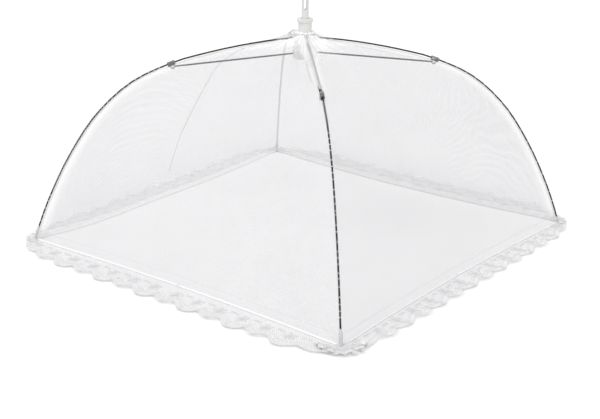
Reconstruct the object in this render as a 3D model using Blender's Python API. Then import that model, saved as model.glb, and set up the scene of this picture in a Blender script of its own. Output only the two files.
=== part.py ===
"""Pop-up mesh food cover: a square net tent on four sprung wire ribs.

The origin is on the table under the crown, with +Z up. Corner pieces are modelled in a corner
frame: X points out along the diagonal, Y is the hinge axis, Z is up. Side pieces are modelled in
a side frame: X points out across the hem and Y runs along it, from one corner to the next.
Pulling the post lifts the runner, whose stretchers spread the ribs and lock a little past centre.
"""
import math

import bmesh
import bpy
from mathutils import Matrix, Vector

# Driving sizes of the whole cover, in metres
SIDE = 0.432
CROWN_PIVOT_HEIGHT = 0.228
RUNNER_PIVOT_DROP = 0.017
PIVOT_RADIUS = 0.0105
CORNERS = 4

# Shares of the reach and of the rise that the bent rib passes through, from crown to table
RIB_SHAPE_SHARES = (
    (0.0344, 1.0), (0.12, 0.989), (0.236, 0.965), (0.36, 0.93), (0.48, 0.885), (0.63, 0.79),
    (0.76, 0.63), (0.86, 0.43), (0.93, 0.245), (0.975, 0.1), (1.0, 0.0),
)
RIB_STEPS = 26
RIB_DIAMETER = 0.0018
EYE_DIAMETER = 0.0042
EYE_THICKNESS = 0.0018
PIN_DIAMETER = 0.0016
FIT_GAP = 0.0003
SLIDE_GAP = 0.0004

# Crown, which holds the ribs
CROWN_CORE_DIAMETER = 0.016
CROWN_HEIGHT = 0.0068
CROWN_CORE_RISE = 0.0002
CROWN_BELOW_PIVOT = 0.0042
CROWN_FOOT_DROP = 0.0045
CROWN_NECK_DIAMETER = 0.0118
EAR_WALL = 0.0022
EAR_BEYOND_PIVOT = 0.003
SLOT_BACK_WALL = 0.0034

# Top cap, which clamps the net on the crown
CAP_DIAMETER = 0.015
CAP_FLANGE_DIAMETER = 0.0176
CAP_FLANGE_HEIGHT = 0.0038
CAP_OVER_NET = 0.0005
CAP_HEIGHT = 0.0142
CAP_ROOF = 0.0035
CAP_BEVEL = 0.0006
WASHER_DIAMETER = 0.021
WASHER_THICKNESS = 0.0006

# Pull post and runner
POST_DIAMETER = 0.0077
POST_TOP_BEVEL = 0.0012
POST_EYE_OVER_CAP = 0.0098
POST_EYE_WIDTH = 0.003
POST_EYE_LENGTH = 0.0115
POST_EYE_BRIDGE = 0.0045
POST_HEAD_DIAMETER = 0.0124
POST_HEAD_THICKNESS = 0.003
RUNNER_DIAMETER = 0.027
RUNNER_PLATE = 0.0035
RUNNER_PLATE_ABOVE_PIVOT = 0.0035
RUNNER_SKIRT_BELOW_PIVOT = 0.0055
RUNNER_SKIRT_BORE = 0.0152
RUNNER_BOSS_DIAMETER = 0.012
RUNNER_BEVEL = 0.0006

# Clips, rivets and stretchers
CLIP_PLACE_SHARE = 0.3455
CLIP_PIVOT_BELOW_RIB = 0.004
CLIP_WALL = 0.0008
CLIP_LENGTH = 0.009
CLIP_SKIRT = 0.0015
CLIP_EAR_DIAMETER = 0.0052
CLIP_BEVEL = 0.0007
RIVET_HEAD_DIAMETER = 0.0032
RIVET_HEAD_THICKNESS = 0.0006
STRETCHER_DIAMETER = 0.0018
STRETCHER_SET_OVER = 0.002
STRETCHER_TOE_LENGTH = 0.0028

# Plastic tips on the ribs
TIP_DIAMETER = 0.0034
TIP_LENGTH = 0.008

# Net, binding, hem and lace
CLOTH_OVER_RIB = 0.0038
NET_THICKNESS = 0.0006
NET_RISE_TO_CAP = 0.0062
NET_RISE_RUN = 0.0305
NET_TOP_RADIUS = 0.0096
NET_SAG = 0.011
NET_SAG_SHARES = ((0.0, 0.0), (0.35, 0.8), (0.55, 1.0), (0.78, 0.5), (1.0, 0.65))
NET_COLUMNS = 12
NET_ROWS = 14
HEM_LEVEL_POWER = 8
SEAM_GAP = 0.0004
BINDING_WIDTH = 0.006
BINDING_THICKNESS = 0.0008
BINDING_START_RADIUS = 0.020
BINDING_TAPER_START = 0.012
BINDING_TAPER_END = 0.038
HEM_WIDTH = 0.009
HEM_THICKNESS = 0.001
HEM_FOOT_HEIGHT = 0.0012
HEM_COLUMNS = 18
LACE_THICKNESS = 0.0008
LACE_REACH_WIDE = 0.040
LACE_REACH_NARROW = 0.026
LACE_REACH_CORNER = 0.019
LACE_UNDER_HEM = 0.0015
LACE_CORNER_CLEARANCE = 0.004
LACE_FLAT_SHARE = 0.3
LACE_CORNER_RUN = 0.045
SCALLOP_DEPTH = 0.009
SCALLOPS = 14
SCALLOP_POINTS = 5
FLUTE_HEIGHT_WIDE = 0.004
FLUTE_HEIGHT_NARROW = 0.007

# Facets of round parts, and the overrun of every cutter
HUB_SIDES = 32
PIN_SIDES = 12
WIRE_SIDES = 8
ARC_STEPS = 6
CURVE_SAMPLES = 16
OVERRUN = 0.001

# Angle, in degrees, past which an edge is sharp
ROUND_DEGREES = 40
CLOTH_DEGREES = 60

# Colour, roughness and metal of each material
MATERIAL_LOOKS = {
    "white_plastic": ((0.86, 0.86, 0.85), 0.4),
    "dark_wire": ((0.05, 0.05, 0.055), 0.35, 0.9),
    "pin_steel": ((0.55, 0.55, 0.56), 0.3, 1.0),
    "white_net": ((0.9, 0.9, 0.92), 0.8),
    "white_tape": ((0.93, 0.93, 0.93), 0.75),
    "white_lace": ((0.95, 0.95, 0.94), 0.8),
}

# Sizes worked out from the driving sizes
REACH = SIDE / math.sqrt(2)
RUNNER_PIVOT_HEIGHT = CROWN_PIVOT_HEIGHT - RUNNER_PIVOT_DROP
CROWN_FOOT_HEIGHT = CROWN_PIVOT_HEIGHT - CROWN_FOOT_DROP
CAP_FOOT_HEIGHT = CROWN_PIVOT_HEIGHT + NET_RISE_TO_CAP + NET_THICKNESS / 2 + CAP_OVER_NET
CAP_TOP_HEIGHT = CAP_FOOT_HEIGHT + CAP_HEIGHT
RIB_RADIUS = RIB_DIAMETER / 2
TIP_RADIUS = TIP_DIAMETER / 2
EYE_HALF_GAP = EYE_THICKNESS / 2 + SLIDE_GAP


def clear_scene():
    for item in list(bpy.data.objects):
        bpy.data.objects.remove(item)


def make_material(name, colour, roughness, metallic=0.0):
    material = bpy.data.materials.new(name)
    material.use_nodes = True
    shader = material.node_tree.nodes["Principled BSDF"]
    shader.inputs["Base Color"].default_value = (*colour, 1.0)
    shader.inputs["Roughness"].default_value = roughness
    shader.inputs["Metallic"].default_value = metallic
    return material


# Curves in the plane of a rib, as (radius, height) pairs
def smooth_curve(points, samples):
    """Catmull-Rom curve through points, with the end runs continued straight."""
    points = [Vector(point) for point in points]
    first = points[0] * 2 - points[1]
    last = points[-1] * 2 - points[-2]
    padded = [first, *points, last]
    curve = []
    for index in range(1, len(padded) - 2):
        before, start, end, after = padded[index - 1:index + 3]
        for step in range(samples):
            t = step / samples
            curve.append(0.5 * (2 * start + (end - before) * t
                                + (2 * before - 5 * start + 4 * end - after) * t ** 2
                                + (3 * start - before - 3 * end + after) * t ** 3))
    curve.append(points[-1])
    return curve


def curve_length(curve):
    return sum((end - start).length for start, end in zip(curve, curve[1:]))


def point_along(curve, distance):
    """The point at a distance along the curve, and the curve's direction there."""
    for start, end in zip(curve, curve[1:]):
        run = (end - start).length
        if distance <= run:
            return start.lerp(end, distance / run), (end - start).normalized()
        distance -= run
    direction = (curve[-1] - curve[-2]).normalized()
    return curve[-1] + direction * distance, direction


def normal_of(direction):
    """The normal of a direction in the rib's plane, on the outer side of the cover."""
    return Vector((-direction[1], direction[0]))


def rib_curve():
    foot = TIP_RADIUS
    rise = CROWN_PIVOT_HEIGHT - foot
    points = [(REACH * out, foot + rise * up) for out, up in RIB_SHAPE_SHARES]
    points[0] = (PIVOT_RADIUS, CROWN_PIVOT_HEIGHT)
    return smooth_curve(points, CURVE_SAMPLES)


def cloth_curve(rib):
    """The line of the cloth over a rib, from under the cap down to the foot of the hem."""
    curve = []
    for start, end in zip(rib, rib[1:]):
        normal = normal_of((end - start).normalized())
        curve.append(start + normal * CLOTH_OVER_RIB)
    direction = (rib[-1] - rib[-2]).normalized()
    curve.append(rib[-1] + normal_of(direction) * CLOTH_OVER_RIB)
    curve.append(curve[-1] + direction * CLOTH_OVER_RIB * 2)
    top = Vector((NET_TOP_RADIUS, curve[0][1]))
    raised = []
    for point in [top] + [point for point in curve if point[0] > NET_TOP_RADIUS]:
        share = min(1.0, (point[0] - NET_TOP_RADIUS) / NET_RISE_RUN)
        raised.append(point + Vector((0, (NET_RISE_TO_CAP - CLOTH_OVER_RIB) * (1 - share) ** 2)))
    while raised[-2][1] < HEM_FOOT_HEIGHT:
        raised.pop()
    last, before = raised[-1], raised[-2]
    share = (before[1] - HEM_FOOT_HEIGHT) / (before[1] - last[1])
    raised[-1] = before.lerp(last, share)
    return raised


def value_at(shares, place):
    """Straight-line reading of a table of shares."""
    for (start, low), (end, high) in zip(shares, shares[1:]):
        if place <= end:
            return low + (high - low) * (place - start) / (end - start)
    return shares[-1][1]


# Solids as drafts, which the booleans join and cut
def draft(shape):
    bmesh.ops.recalc_face_normals(shape, faces=shape.faces)
    mesh = bpy.data.meshes.new("draft")
    shape.to_mesh(mesh)
    shape.free()
    item = bpy.data.objects.new("draft", mesh)
    bpy.context.scene.collection.objects.link(item)
    return item


def turned(profile, sides, axis="Z", centre=(0, 0, 0)):
    """A solid of revolution: profile is (radius, height) points, closed unless it meets the axis."""
    shape = bmesh.new()
    verts = [shape.verts.new((radius, 0, height)) for radius, height in profile]
    pairs = list(zip(verts, verts[1:]))
    on_axis = profile[0][0] == 0 and profile[-1][0] == 0
    if not on_axis:
        pairs.append((verts[-1], verts[0]))
    edges = [shape.edges.new(pair) for pair in pairs]
    bmesh.ops.spin(shape, geom=verts + edges, cent=(0, 0, 0), axis=(0, 0, 1),
                   angle=math.tau, steps=sides, use_merge=True)
    bmesh.ops.remove_doubles(shape, verts=shape.verts, dist=RIB_RADIUS / 1000)
    turn = Matrix.Rotation(-math.pi / 2, 4, "X") if axis == "Y" else Matrix.Identity(4)
    bmesh.ops.transform(shape, matrix=Matrix.Translation(centre) @ turn, verts=shape.verts)
    return draft(shape)


def cylinder(radius, low, high, sides, axis="Z", centre=(0, 0, 0)):
    return turned([(0, low), (radius, low), (radius, high), (0, high)], sides, axis, centre)


def prism(outline, low, high):
    """An outline in the X-Z plane, extruded along Y from low to high."""
    shape = bmesh.new()
    face = shape.faces.new([shape.verts.new((x, low, z)) for x, z in outline])
    grown = bmesh.ops.extrude_face_region(shape, geom=[face])
    moved = [item for item in grown["geom"] if isinstance(item, bmesh.types.BMVert)]
    bmesh.ops.translate(shape, vec=(0, high - low, 0), verts=moved)
    return draft(shape)


def block(x_low, x_high, y_low, y_high, z_low, z_high):
    return prism([(x_low, z_low), (x_high, z_low), (x_high, z_high), (x_low, z_high)],
                 y_low, y_high)


def rod(points, radius, sides):
    """A round wire along points that stay close to one plane through Y."""
    points = [Vector(point) for point in points]
    shape = bmesh.new()
    rings = []
    for index, point in enumerate(points):
        ahead = points[min(index + 1, len(points) - 1)]
        behind = points[max(index - 1, 0)]
        tangent = (ahead - behind).normalized()
        across = tangent.cross(Vector((0, 1, 0))).normalized()
        beside = tangent.cross(across)
        ring = []
        for side in range(sides):
            angle = math.tau * (side + 0.5) / sides
            offset = across * math.cos(angle) + beside * math.sin(angle)
            ring.append(shape.verts.new(point + offset * radius))
        rings.append(ring)
    for ring, after in zip(rings, rings[1:]):
        for side in range(sides):
            near = (side + 1) % sides
            shape.faces.new((ring[side], ring[near], after[near], after[side]))
    shape.faces.new(rings[0])
    shape.faces.new(rings[-1])
    return draft(shape)


def boolean(base, tool, operation):
    step = base.modifiers.new("step", "BOOLEAN")
    step.operation = operation
    step.solver = "EXACT"
    step.object = tool
    graph = bpy.context.evaluated_depsgraph_get()
    base.data = bpy.data.meshes.new_from_object(base.evaluated_get(graph))
    base.modifiers.clear()
    bpy.data.objects.remove(tool)
    return base


def joined(base, tool):
    return boolean(base, tool, "UNION")


def cut(base, tool):
    return boolean(base, tool, "DIFFERENCE")


def turn_to_corner(item, corner):
    """Turn a draft made in the corner frame of corner 0 to another corner."""
    angle = math.tau * corner / CORNERS
    item.data.transform(Matrix.Rotation(angle, 4, "Z"))
    return item


def sheet(lower, upper):
    """A closed thin solid between two grids of points of the same size."""
    shape = bmesh.new()
    layers = [[[shape.verts.new(point) for point in row] for row in grid]
              for grid in (lower, upper)]
    rows = len(lower) - 1
    columns = len(lower[0]) - 1
    for layer in layers:
        for i in range(rows):
            for j in range(columns):
                shape.faces.new((layer[i][j], layer[i + 1][j],
                                 layer[i + 1][j + 1], layer[i][j + 1]))
    low, high = layers
    rim = [(i, 0) for i in range(rows)] + [(rows, j) for j in range(columns)]
    rim += [(i, columns) for i in range(rows, 0, -1)] + [(0, j) for j in range(columns, 0, -1)]
    for (i, j), (m, n) in zip(rim, rim[1:] + rim[:1]):
        shape.faces.new((low[i][j], low[m][n], high[m][n], high[i][j]))
    return draft(shape)


def thickened(grid, thickness):
    """A sheet of the given thickness about a grid of points, square to it."""
    lower, upper = [], []
    for i, row in enumerate(grid):
        lower.append([])
        upper.append([])
        for j, point in enumerate(row):
            down = grid[min(i + 1, len(grid) - 1)][j] - grid[max(i - 1, 0)][j]
            along = row[min(j + 1, len(row) - 1)] - row[max(j - 1, 0)]
            half = down.cross(along).normalized() * thickness / 2
            lower[i].append(point - half)
            upper[i].append(point + half)
    return sheet(lower, upper)


# Pieces that stand on the axis
def turn_hub(item):
    """Turn a hub piece so that its first slot faces the first corner."""
    item.data.transform(Matrix.Rotation(math.pi / CORNERS, 4, "Z"))
    return item


def raised(item, height):
    item.data.transform(Matrix.Translation((0, 0, height)))
    return item


def make_crown():
    foot = -CROWN_BELOW_PIVOT
    top = foot + CROWN_HEIGHT
    middle = (foot + top) / 2
    ear_radius = CROWN_HEIGHT / 2
    ear_width = EYE_HALF_GAP + EAR_WALL
    bore = POST_DIAMETER / 2 + SLIDE_GAP
    ear_end = PIVOT_RADIUS + EAR_BEYOND_PIVOT
    neck_top = CAP_TOP_HEIGHT - CAP_ROOF - FIT_GAP - CROWN_PIVOT_HEIGHT
    base = cylinder(CROWN_CORE_DIAMETER / 2, -CROWN_FOOT_DROP, top + CROWN_CORE_RISE, HUB_SIDES)
    outline = []
    for way in (1, -1):
        for step in range(2 * ARC_STEPS + 1):
            angle = math.pi * (step / (2 * ARC_STEPS) - 0.5)
            outline.append((way * (ear_end - ear_radius + ear_radius * math.cos(angle)),
                            middle + way * ear_radius * math.sin(angle)))
    for corner in range(CORNERS // 2):
        base = joined(base, turn_to_corner(prism(outline, -ear_width, ear_width), corner))
    base = joined(base, cylinder(CROWN_NECK_DIAMETER / 2, middle, neck_top, HUB_SIDES))
    base = cut(base, cylinder(bore, foot - CROWN_HEIGHT, neck_top + OVERRUN, HUB_SIDES))
    for corner in range(CORNERS):
        opening = block(bore + SLOT_BACK_WALL, ear_end + OVERRUN, -EYE_HALF_GAP, EYE_HALF_GAP,
                        foot - CROWN_HEIGHT, top + OVERRUN)
        base = cut(base, turn_to_corner(opening, corner))
        hole = cylinder(PIN_DIAMETER / 2 + FIT_GAP, -ear_width - OVERRUN, ear_width + OVERRUN,
                        PIN_SIDES, "Y", (PIVOT_RADIUS, 0, 0))
        base = cut(base, turn_to_corner(hole, corner))
    return raised(turn_hub(base), CROWN_PIVOT_HEIGHT)


def make_top_cap():
    outer = CAP_DIAMETER / 2
    flange = CAP_FLANGE_DIAMETER / 2
    flange_foot = CAP_TOP_HEIGHT - CAP_FLANGE_HEIGHT
    bore = CROWN_NECK_DIAMETER / 2 + FIT_GAP
    hole = POST_DIAMETER / 2 + SLIDE_GAP
    roof = CAP_TOP_HEIGHT - CAP_ROOF
    profile = [
        (bore, CAP_FOOT_HEIGHT), (outer, CAP_FOOT_HEIGHT), (outer, flange_foot - CAP_BEVEL),
        (flange - CAP_BEVEL, flange_foot), (flange, flange_foot + CAP_BEVEL),
        (flange, CAP_TOP_HEIGHT - CAP_BEVEL), (flange - CAP_BEVEL, CAP_TOP_HEIGHT),
        (hole, CAP_TOP_HEIGHT), (hole, roof), (bore, roof),
    ]
    return turned(profile, HUB_SIDES)


def make_apex_washer():
    inner = CROWN_NECK_DIAMETER / 2 + FIT_GAP
    crown_top = CROWN_PIVOT_HEIGHT - CROWN_BELOW_PIVOT + CROWN_HEIGHT + CROWN_CORE_RISE
    foot = crown_top + FIT_GAP
    top = foot + WASHER_THICKNESS
    outer = WASHER_DIAMETER / 2
    return turned([(inner, foot), (outer, foot), (outer, top), (inner, top)], HUB_SIDES)


def make_runner():
    plate_foot = RUNNER_PLATE_ABOVE_PIVOT
    plate_top = plate_foot + RUNNER_PLATE
    skirt_foot = -RUNNER_SKIRT_BELOW_PIVOT
    outer = RUNNER_DIAMETER / 2
    skirt_bore = RUNNER_SKIRT_BORE / 2
    boss = RUNNER_BOSS_DIAMETER / 2
    bore = POST_DIAMETER / 2 + FIT_GAP
    boss_top = CROWN_FOOT_HEIGHT - FIT_GAP - RUNNER_PIVOT_HEIGHT
    profile = [
        (skirt_bore, skirt_foot), (outer - RUNNER_BEVEL, skirt_foot),
        (outer, skirt_foot + RUNNER_BEVEL), (outer, plate_top - RUNNER_BEVEL),
        (outer - RUNNER_BEVEL, plate_top), (boss, plate_top), (boss, boss_top),
        (bore, boss_top), (bore, plate_foot), (skirt_bore, plate_foot),
    ]
    base = turned(profile, HUB_SIDES)
    wire = STRETCHER_DIAMETER / 2 + SLIDE_GAP
    seat = STRETCHER_DIAMETER / 2 + FIT_GAP
    toe_end = STRETCHER_SET_OVER + STRETCHER_TOE_LENGTH + SLIDE_GAP
    near_side = STRETCHER_SET_OVER - wire
    far_side = STRETCHER_SET_OVER + wire
    mouth_start = math.sqrt(skirt_bore ** 2 - toe_end ** 2) - OVERRUN
    for corner in range(CORNERS):
        slot = block(skirt_bore - OVERRUN, outer + OVERRUN, near_side, far_side,
                     skirt_foot - OVERRUN, plate_top + OVERRUN)
        base = cut(base, turn_to_corner(slot, corner))
        mouth = [(mouth_start, skirt_foot - OVERRUN),
                 (PIVOT_RADIUS + seat, skirt_foot - OVERRUN)]
        for step in range(ARC_STEPS + 1):
            angle = math.pi * step / ARC_STEPS
            mouth.append((PIVOT_RADIUS + seat * math.cos(angle),
                          seat * math.sin(angle)))
        mouth.append((mouth_start, 0))
        base = cut(base, turn_to_corner(prism(mouth, STRETCHER_SET_OVER, toe_end), corner))
    return raised(turn_hub(base), RUNNER_PIVOT_HEIGHT)


def make_pull_post():
    radius = POST_DIAMETER / 2
    head = POST_HEAD_DIAMETER / 2
    head_top = RUNNER_PIVOT_HEIGHT + RUNNER_PLATE_ABOVE_PIVOT - FIT_GAP
    head_foot = head_top - POST_HEAD_THICKNESS
    eye_foot = CAP_TOP_HEIGHT + POST_EYE_OVER_CAP
    eye_top = eye_foot + POST_EYE_LENGTH
    post_top = eye_top + POST_EYE_BRIDGE
    profile = [
        (0, head_foot), (head - POST_TOP_BEVEL, head_foot), (head, head_foot + POST_TOP_BEVEL),
        (head, head_top), (radius, head_top), (radius, post_top - POST_TOP_BEVEL),
        (radius - POST_TOP_BEVEL, post_top), (0, post_top),
    ]
    base = turned(profile, HUB_SIDES)
    half = POST_EYE_WIDTH / 2
    low = eye_foot + half
    high = eye_top - half
    outline = []
    for centre, start in ((high, 0), (low, math.pi)):
        for step in range(ARC_STEPS + 1):
            angle = start + math.pi * step / ARC_STEPS
            outline.append((half * math.cos(angle), centre + half * math.sin(angle)))
    eye = prism(outline, -radius - OVERRUN, radius + OVERRUN)
    return turn_hub(cut(base, eye))


# Pieces of one corner
def eye_ring(centre):
    half = EYE_THICKNESS / 2
    hole = PIN_DIAMETER / 2 + FIT_GAP
    outer = EYE_DIAMETER / 2
    return turned([(hole, -half), (outer, -half), (outer, half), (hole, half)], PIN_SIDES, "Y",
                  centre)


def wire_start():
    """Distance from a pivot at which a wire meets the wall of its eye."""
    return (EYE_DIAMETER / 2 + PIN_DIAMETER / 2 + FIT_GAP) / 2


def make_rib(rib):
    length = curve_length(rib)
    start = wire_start()
    points = []
    for step in range(RIB_STEPS + 1):
        point, _ = point_along(rib, start + (length - start) * step / RIB_STEPS)
        points.append((point[0], 0, point[1]))
    base = rod(points, RIB_RADIUS, WIRE_SIDES)
    return joined(base, eye_ring((PIVOT_RADIUS, 0, CROWN_PIVOT_HEIGHT)))


def clip_place(rib):
    """Centre of the rib at its clip, the rib's direction there, and the clip's pivot."""
    centre, direction = point_along(rib, curve_length(rib) * CLIP_PLACE_SHARE)
    pivot = centre - normal_of(direction) * CLIP_PIVOT_BELOW_RIB
    return centre, direction, pivot


def bevel_roof(item, top):
    """Round the two long edges at the top of a clip."""
    shape = bmesh.new()
    shape.from_mesh(item.data)
    edges = [edge for edge in shape.edges
             if all(abs(vert.co.z - top) < CLIP_BEVEL / 2 for vert in edge.verts)
             and abs(edge.verts[0].co.x - edge.verts[1].co.x) > CLIP_BEVEL]
    bmesh.ops.bevel(shape, geom=edges, offset=CLIP_BEVEL, segments=2, affect="EDGES",
                    profile=0.5)
    shape.to_mesh(item.data)
    shape.free()
    return item


def make_rib_clip(rib):
    centre, direction, _ = clip_place(rib)
    outside = EYE_HALF_GAP + CLIP_WALL
    roof = RIB_RADIUS + FIT_GAP
    top = roof + CLIP_WALL
    half = CLIP_LENGTH / 2
    ear = CLIP_EAR_DIAMETER / 2
    outline = [(-half, -CLIP_SKIRT), (-half, top), (half, top), (half, -CLIP_SKIRT)]
    for step in range(ARC_STEPS + 1):
        angle = -math.pi * step / ARC_STEPS
        outline.append((ear * math.cos(angle), ear * math.sin(angle) - CLIP_PIVOT_BELOW_RIB))
    base = bevel_roof(prism(outline, -outside, outside), top)
    base = cut(base, block(-half - OVERRUN, half + OVERRUN, -EYE_HALF_GAP, EYE_HALF_GAP,
                           -CLIP_PIVOT_BELOW_RIB - ear - OVERRUN, roof))
    base = cut(base, cylinder(PIN_DIAMETER / 2 + FIT_GAP, -outside - OVERRUN, outside + OVERRUN,
                              PIN_SIDES, "Y", (0, 0, -CLIP_PIVOT_BELOW_RIB)))
    tilt = Matrix.Rotation(-math.atan2(direction[1], direction[0]), 4, "Y")
    base.data.transform(Matrix.Translation((centre[0], 0, centre[1])) @ tilt)
    return base


def make_crown_pin():
    half = EYE_HALF_GAP + EAR_WALL
    return cylinder(PIN_DIAMETER / 2, -half, half, PIN_SIDES, "Y",
                    (PIVOT_RADIUS, 0, CROWN_PIVOT_HEIGHT))


def make_clip_rivet(rib):
    pivot = clip_place(rib)[2]
    radius = PIN_DIAMETER / 2
    head = RIVET_HEAD_DIAMETER / 2
    seat = EYE_HALF_GAP + CLIP_WALL + FIT_GAP
    end = seat + RIVET_HEAD_THICKNESS
    profile = [(0, -end), (radius, -end), (head, -seat), (radius, -seat),
               (radius, seat), (head, seat), (radius, end), (0, end)]
    return turned(profile, PIN_SIDES, "Y", (pivot[0], 0, pivot[1]))


def make_stretcher(rib):
    pivot = clip_place(rib)[2]
    outer = Vector((pivot[0], 0, pivot[1]))
    inner = Vector((PIVOT_RADIUS, STRETCHER_SET_OVER, RUNNER_PIVOT_HEIGHT))
    along = (inner - outer).normalized()
    radius = STRETCHER_DIAMETER / 2
    base = rod([outer + along * wire_start(), inner], radius, WIRE_SIDES)
    base = joined(base, eye_ring(outer))
    toe = cylinder(radius, STRETCHER_SET_OVER - radius, STRETCHER_SET_OVER + STRETCHER_TOE_LENGTH,
                   PIN_SIDES, "Y", (PIVOT_RADIUS, 0, RUNNER_PIVOT_HEIGHT))
    return joined(base, toe)


def make_rib_tip(rib):
    end = rib[-1]
    direction = (rib[-1] - rib[-2]).normalized()
    bore = RIB_RADIUS + FIT_GAP
    profile = [(0, TIP_RADIUS)]
    for step in range(1, ARC_STEPS + 1):
        angle = math.pi / 2 * step / ARC_STEPS
        profile.append((TIP_RADIUS * math.sin(angle), TIP_RADIUS * math.cos(angle)))
    profile += [(TIP_RADIUS, TIP_RADIUS - TIP_LENGTH), (bore, TIP_RADIUS - TIP_LENGTH),
                (bore, FIT_GAP), (0, FIT_GAP)]
    base = turned(profile, PIN_SIDES)
    tilt = Matrix.Rotation(math.atan2(direction[0], direction[1]), 4, "Y")
    base.data.transform(Matrix.Translation((end[0], 0, end[1])) @ tilt)
    return base


# Pieces of one side
def binding_edge(radius):
    """How far the binding reaches along the side from its corner, at a radius from the axis."""
    share = (radius - BINDING_TAPER_START) / (BINDING_TAPER_END - BINDING_TAPER_START)
    share = max(0.0, min(1.0, share))
    return BINDING_WIDTH * share ** 2 * (3 - 2 * share) + SEAM_GAP


def cloth_point(cloth, share, along_share, start_inset, end_inset):
    """A point of the cloth, in the side frame: share runs down it, along_share across it."""
    point, direction = point_along(cloth, curve_length(cloth) * share)
    half = point[0] / math.sqrt(2)
    low = -half + start_inset
    high = half - end_inset
    along = low + (high - low) * along_share
    crosswise = along / half
    sag = NET_SAG * value_at(NET_SAG_SHARES, share) * (1 - min(1.0, crosswise ** 2))
    normal = normal_of(direction)
    out = half - normal[0] * sag
    level = 1 - share ** HEM_LEVEL_POWER
    return Vector((out, along, point[1] - normal[1] * sag * level))


def hem_top_share(cloth):
    return 1 - HEM_WIDTH / curve_length(cloth)


def seam_shares(cloth):
    """Places down the cloth at which the net and its binding share a row of points."""
    total = curve_length(cloth)
    start = 0
    while point_along(cloth, start)[0][0] < BINDING_START_RADIUS:
        start += SEAM_GAP
    bottom = total * hem_top_share(cloth) - FIT_GAP
    return [(start + (bottom - start) * row / NET_ROWS) / total for row in range(NET_ROWS + 1)]


def make_mesh_gore(cloth):
    grid = []
    for share in [0.0] + seam_shares(cloth):
        radius = point_along(cloth, curve_length(cloth) * share)[0][0]
        inset = binding_edge(radius) + SEAM_GAP
        grid.append([cloth_point(cloth, share, column / NET_COLUMNS, SEAM_GAP, inset)
                     for column in range(NET_COLUMNS + 1)])
    return thickened(grid, NET_THICKNESS)


def make_hem_band(cloth):
    top = hem_top_share(cloth)
    inset = BINDING_WIDTH + SEAM_GAP * 2
    grid = [[cloth_point(cloth, share, column / HEM_COLUMNS, SEAM_GAP, inset)
             for column in range(HEM_COLUMNS + 1)] for share in (top, 1.0)]
    return thickened(grid, HEM_THICKNESS)


def make_seam_binding(cloth):
    """The tape along a rib, on the side that ends at the rib's corner."""
    total = curve_length(cloth)
    grid = []
    for share in seam_shares(cloth) + [1.0]:
        half = point_along(cloth, total * share)[0][0] / math.sqrt(2)
        inner = 2 * half - binding_edge(half * math.sqrt(2))
        grid.append([cloth_point(cloth, share, 0, inner, SEAM_GAP * 2),
                     cloth_point(cloth, share, 1, inner, SEAM_GAP * 2)])
    return thickened(grid, BINDING_THICKNESS)


def make_lace_trim(cloth, reach, flute_height):
    foot = cloth[-1][0] / math.sqrt(2)
    columns = SCALLOPS * SCALLOP_POINTS
    run = foot - LACE_CORNER_CLEARANCE
    rows = (0.0, LACE_FLAT_SHARE, 1.0)
    lower = [[] for _ in rows]
    for column in range(columns + 1):
        share = column / columns
        inner = cloth_point(cloth, 1.0, share, LACE_CORNER_CLEARANCE, LACE_CORNER_CLEARANCE)
        start = Vector((inner[0] - LACE_UNDER_HEM, inner[1], 0))
        to_corner = min(1.0, (run - abs(start[1])) / LACE_CORNER_RUN)
        fan = (1 - to_corner) ** 2
        arch = abs(math.sin(math.pi * SCALLOPS * share))
        width = reach - SCALLOP_DEPTH * (1 - arch)
        width = width * (1 - fan) + LACE_REACH_CORNER / math.sqrt(2) * fan
        sideways = math.copysign(LACE_REACH_CORNER / math.sqrt(2) + LACE_CORNER_CLEARANCE
                                 - SEAM_GAP * 2, start[1]) * fan
        end = Vector((foot + width, start[1] + sideways, 0))
        wave = (1 - math.sin(math.pi * SCALLOPS * share)) / 2
        for row, place in enumerate(rows):
            raised = max(0.0, place - LACE_FLAT_SHARE) / (1 - LACE_FLAT_SHARE)
            point = start.lerp(end, place)
            point[2] = flute_height * wave * raised ** 2 * to_corner
            lower[row].append(point)
    rise = Vector((0, 0, LACE_THICKNESS))
    upper = [[point + rise for point in row] for row in lower]
    return sheet(lower, upper)


# Naming, placing and finishing
def finish(item, name, material, smooth_degrees):
    """The mesh of a draft, named, with its material and its soft and sharp edges."""
    mesh = item.data
    bpy.data.objects.remove(item)
    mesh.name = name
    mesh.materials.clear()
    mesh.materials.append(material)
    mesh.shade_smooth()
    mesh.set_sharp_from_angle(angle=math.radians(smooth_degrees))
    return mesh


def add_piece(name, mesh, origin=(0, 0, 0), parent=None, parent_origin=(0, 0, 0)):
    """Add an object whose origin is at a point of its frame, under a parent in the same frame."""
    piece = bpy.data.objects.new(name, mesh)
    bpy.context.scene.collection.objects.link(piece)
    piece.parent = parent
    piece.location = Vector(origin) - Vector(parent_origin)
    return piece


def set_origin(item, origin):
    item.data.transform(Matrix.Translation(-Vector(origin)))
    return item


def add_frame(name, angle):
    frame = bpy.data.objects.new(name, None)
    bpy.context.scene.collection.objects.link(frame)
    frame.rotation_euler = (0, 0, angle)
    return frame


def add_hub(materials, runner_point):
    """The crown and what it carries, and the runner with its post."""
    plastic = materials["white_plastic"]
    tape = materials["white_tape"]
    add_piece("crown", finish(make_crown(), "crown", plastic, ROUND_DEGREES))
    add_piece("top_cap", finish(make_top_cap(), "top_cap", plastic, ROUND_DEGREES))
    add_piece("apex_washer", finish(make_apex_washer(), "apex_washer", tape, ROUND_DEGREES))
    runner_mesh = finish(set_origin(make_runner(), runner_point), "runner", plastic,
                         ROUND_DEGREES)
    post_mesh = finish(set_origin(make_pull_post(), runner_point), "pull_post", plastic,
                       ROUND_DEGREES)
    runner = add_piece("runner", runner_mesh, runner_point)
    add_piece("pull_post", post_mesh, runner_point, runner, runner_point)


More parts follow.
